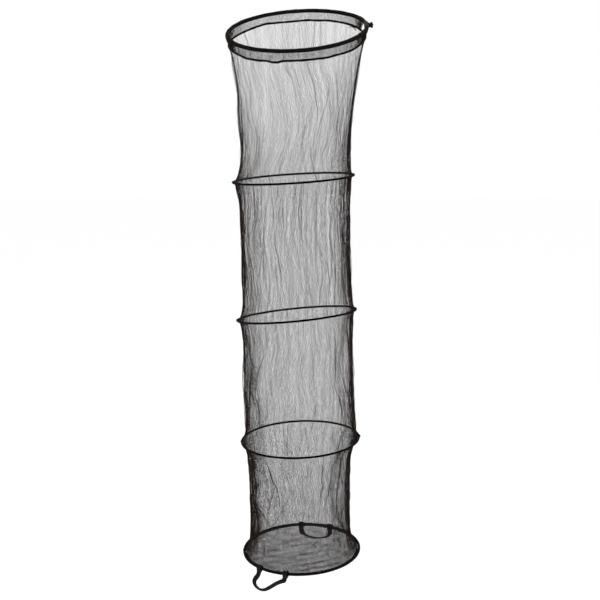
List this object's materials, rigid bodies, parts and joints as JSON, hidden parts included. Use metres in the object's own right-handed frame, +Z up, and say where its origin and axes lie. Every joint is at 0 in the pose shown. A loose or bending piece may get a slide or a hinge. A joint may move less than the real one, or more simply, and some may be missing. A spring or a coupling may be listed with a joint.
{
  "type": "keep net",
  "caption": "Ringed tube of fine mesh that hangs open-mouthed from a threaded side stud, with a mesh floor and two webbing handles at its base.",
  "frame": {"origin": "centre of the outer end face of the bank stick stud, on the right of the head ring", "axes": "+Z up as the net hangs, +X to the right along the head ring's chord through the stud, which rises 4 degrees, -Y to the front"},
  "size_m": [0.4704, 0.439, 1.9035],
  "materials": {
    "coated_rod": "satin black plastic coating",
    "moulded_nylon": "fine spark texture, black",
    "blacked_steel": "blacked, slightly oily",
    "netting": "knotless polyester mesh, black",
    "sewn_tape": "woven tape and cord, black",
    "webbing": "woven polypropylene webbing, black",
    "hoop_wire": "drawn wire"
  },
  "bodies": {
    "head": {"head_ring": "coated_rod", "head_boss": "moulded_nylon", "ring_pin_front": "blacked_steel", "ring_pin_rear": "blacked_steel", "bank_stick_stud": "blacked_steel", "head_hem": "netting", "hem_cord": "sewn_tape", "hem_tie": "sewn_tape", "net_section_1": "netting", "side_seam_1": "sewn_tape"},
    "lock_nut": {"lock_nut": "moulded_nylon"},
    "ring_2": {"ring_2_hoop": "hoop_wire", "ring_2_sleeve": "sewn_tape", "net_section_2": "netting", "side_seam_2": "sewn_tape"},
    "ring_3": {"ring_3_hoop": "hoop_wire", "ring_3_sleeve": "sewn_tape", "net_section_3": "netting", "side_seam_3": "sewn_tape"},
    "ring_4": {"ring_4_hoop": "hoop_wire", "ring_4_sleeve": "sewn_tape", "net_section_4": "netting", "side_seam_4": "sewn_tape"},
    "base": {"base_hoop": "hoop_wire", "base_sleeve": "sewn_tape", "base_net": "netting"},
    "front_handle": {"front_handle": "webbing"},
    "rear_handle": {"rear_handle": "webbing"}
  },
  "joints": [
    {"name": "lock_nut_turn", "type": "hinge", "parent": "head", "child": "lock_nut", "pos_m": [-0.00818, 0, -0.00056], "axis": [0.9977, 0, 0.068], "continuous": true},
    {"name": "ring_2_lift", "type": "slide", "parent": "head", "child": "ring_2", "axis": [0, 0, 1], "range_m": [0, 0.35], "deforming": ["net_section_1", "side_seam_1"]},
    {"name": "ring_3_lift", "type": "slide", "parent": "ring_2", "child": "ring_3", "axis": [0, 0, 1], "range_m": [0, 0.415], "deforming": ["net_section_2", "side_seam_2"]},
    {"name": "ring_4_lift", "type": "slide", "parent": "ring_3", "child": "ring_4", "axis": [0, 0, 1], "range_m": [0, 0.38], "deforming": ["net_section_3", "side_seam_3"]},
    {"name": "base_lift", "type": "slide", "parent": "ring_4", "child": "base", "axis": [0, 0, 1], "range_m": [0, 0.36], "deforming": ["net_section_4", "side_seam_4"]},
    {"name": "front_handle_swing", "type": "hinge", "parent": "base", "child": "front_handle", "pos_m": [-0.32285, -0.16032, -1.77139], "axis": [-0.8581, 0.5133, 0.0138], "range_deg": [-65, 135]},
    {"name": "rear_handle_swing", "type": "hinge", "parent": "base", "child": "rear_handle", "pos_m": [-0.17706, 0.18035, -1.73853], "axis": [0.9632, -0.2687, 0.0098], "range_deg": [-65, 135]}
  ]
}
